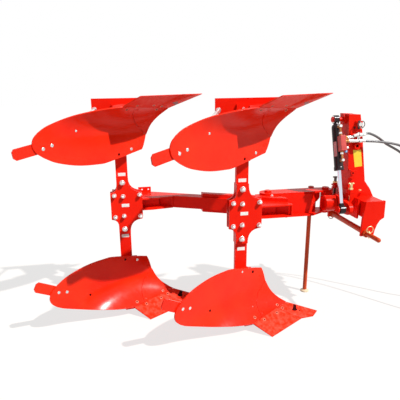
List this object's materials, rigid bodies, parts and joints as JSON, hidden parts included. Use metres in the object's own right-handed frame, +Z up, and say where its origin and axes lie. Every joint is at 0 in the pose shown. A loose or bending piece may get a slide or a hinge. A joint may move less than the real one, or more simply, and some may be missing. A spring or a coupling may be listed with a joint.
{
  "type": "reversible plough",
  "caption": "Mounted hydraulic reversible plough with upper and lower mouldboard bodies on a slanted beam that turns over about a shaft in the headstock.",
  "frame": {"origin": "middle of the plough's footprint on the ground, measured without the hoses", "axes": "+X is the direction of travel, +Y is to the left of it, +Z is up"},
  "size_m": [2.6955, 1.1056, 1.4],
  "materials": {
    "red_paint": "glossy sprayed enamel",
    "dark_red_paint": "enamel worn at the moving faces",
    "black_paint": "glossy enamel",
    "zinc_plate": "bright zinc plating",
    "chrome": "ground and hard chromed",
    "rubber": "smooth hose cover"
  },
  "bodies": {
    "headstock": {"mast": "red_paint", "cross_member": "red_paint", "hitch_shaft": "dark_red_paint", "top_link_pin": "zinc_plate", "bearing_housing": "dark_red_paint", "hose_clip": "zinc_plate", "upper_hose": "rubber", "upper_hose_coil": "rubber", "upper_hose_coupler": "zinc_plate", "lower_hose": "rubber", "lower_hose_coil": "rubber", "lower_hose_coupler": "zinc_plate"},
    "turnover_frame": {"turnover_shaft": "dark_red_paint", "crank": "red_paint", "swing_frame": "red_paint", "front_pivot_pin": "dark_red_paint", "rear_pivot_pin": "dark_red_paint", "stand_sleeve": "red_paint"},
    "rod": {"cylinder_rod": "chrome"},
    "barrel": {"cylinder_barrel": "black_paint", "valve_block": "dark_red_paint", "upper_pin": "red_paint"},
    "stand": {"parking_stand": "dark_red_paint"},
    "beam": {"front_lower_leg": "red_paint", "front_lower_mouldboard": "red_paint", "front_lower_shin": "red_paint", "front_lower_share": "red_paint", "front_lower_chisel_point": "red_paint", "front_lower_landside": "red_paint", "front_lower_tail_piece": "red_paint", "front_upper_leg": "red_paint", "front_upper_mouldboard": "red_paint", "front_upper_shin": "red_paint", "front_upper_share": "red_paint", "front_upper_chisel_point": "red_paint", "front_upper_landside": "red_paint", "front_upper_tail_piece": "red_paint", "rear_lower_leg": "red_paint", "rear_lower_mouldboard": "red_paint", "rear_lower_shin": "red_paint", "rear_lower_share": "red_paint", "rear_lower_chisel_point": "red_paint", "rear_lower_landside": "red_paint", "rear_lower_tail_piece": "red_paint", "rear_upper_leg": "red_paint", "rear_upper_mouldboard": "red_paint", "rear_upper_shin": "red_paint", "rear_upper_share": "red_paint", "rear_upper_chisel_point": "red_paint", "rear_upper_landside": "red_paint", "rear_upper_tail_piece": "red_paint", "front_leg_plate": "red_paint", "front_leg_bracket": "red_paint", "rear_leg_plate": "red_paint", "rear_leg_bracket": "red_paint", "main_beam": "red_paint", "beam_head": "red_paint"},
    "near_screw": {"near_stop_screw": "zinc_plate"},
    "far_screw": {"far_stop_screw": "zinc_plate"}
  },
  "joints": [
    {"name": "turnover", "type": "hinge", "parent": "headstock", "child": "turnover_frame", "pos_m": [0.79917, -0.00257, 0.7], "axis": [-1, 0, 0], "range_deg": [0, 180]},
    {"name": "rod_swing", "type": "hinge", "parent": "turnover_frame", "child": "rod", "pos_m": [0.79917, -0.17457, 0.7], "axis": [-1, 0, 0], "range_deg": [-215.7, 0]},
    {"name": "barrel_slide", "type": "slide", "parent": "rod", "child": "barrel", "axis": [0, -0.3061, -0.952], "range_m": [0, 0.199]},
    {"name": "beam_swing", "type": "hinge", "parent": "turnover_frame", "child": "beam", "pos_m": [0.40417, 0.07943, 0.7], "axis": [0, 0, 1], "range_deg": [-3, 3]},
    {"name": "stand_slide", "type": "slide", "parent": "turnover_frame", "child": "stand", "axis": [0, 0, 1], "range_m": [0, 0.25]},
    {"name": "near_screw_turn", "type": "hinge", "parent": "headstock", "child": "near_screw", "pos_m": [0.88517, -0.10957, 0.78], "axis": [0, 0, 1], "continuous": true},
    {"name": "far_screw_turn", "type": "hinge", "parent": "headstock", "child": "far_screw", "pos_m": [0.88517, 0.10443, 0.78], "axis": [0, 0, 1], "continuous": true}
  ],
  "couplings": [
    {"joint": "rod_swing", "follows": "turnover", "ratio": -1.198}
  ]
}
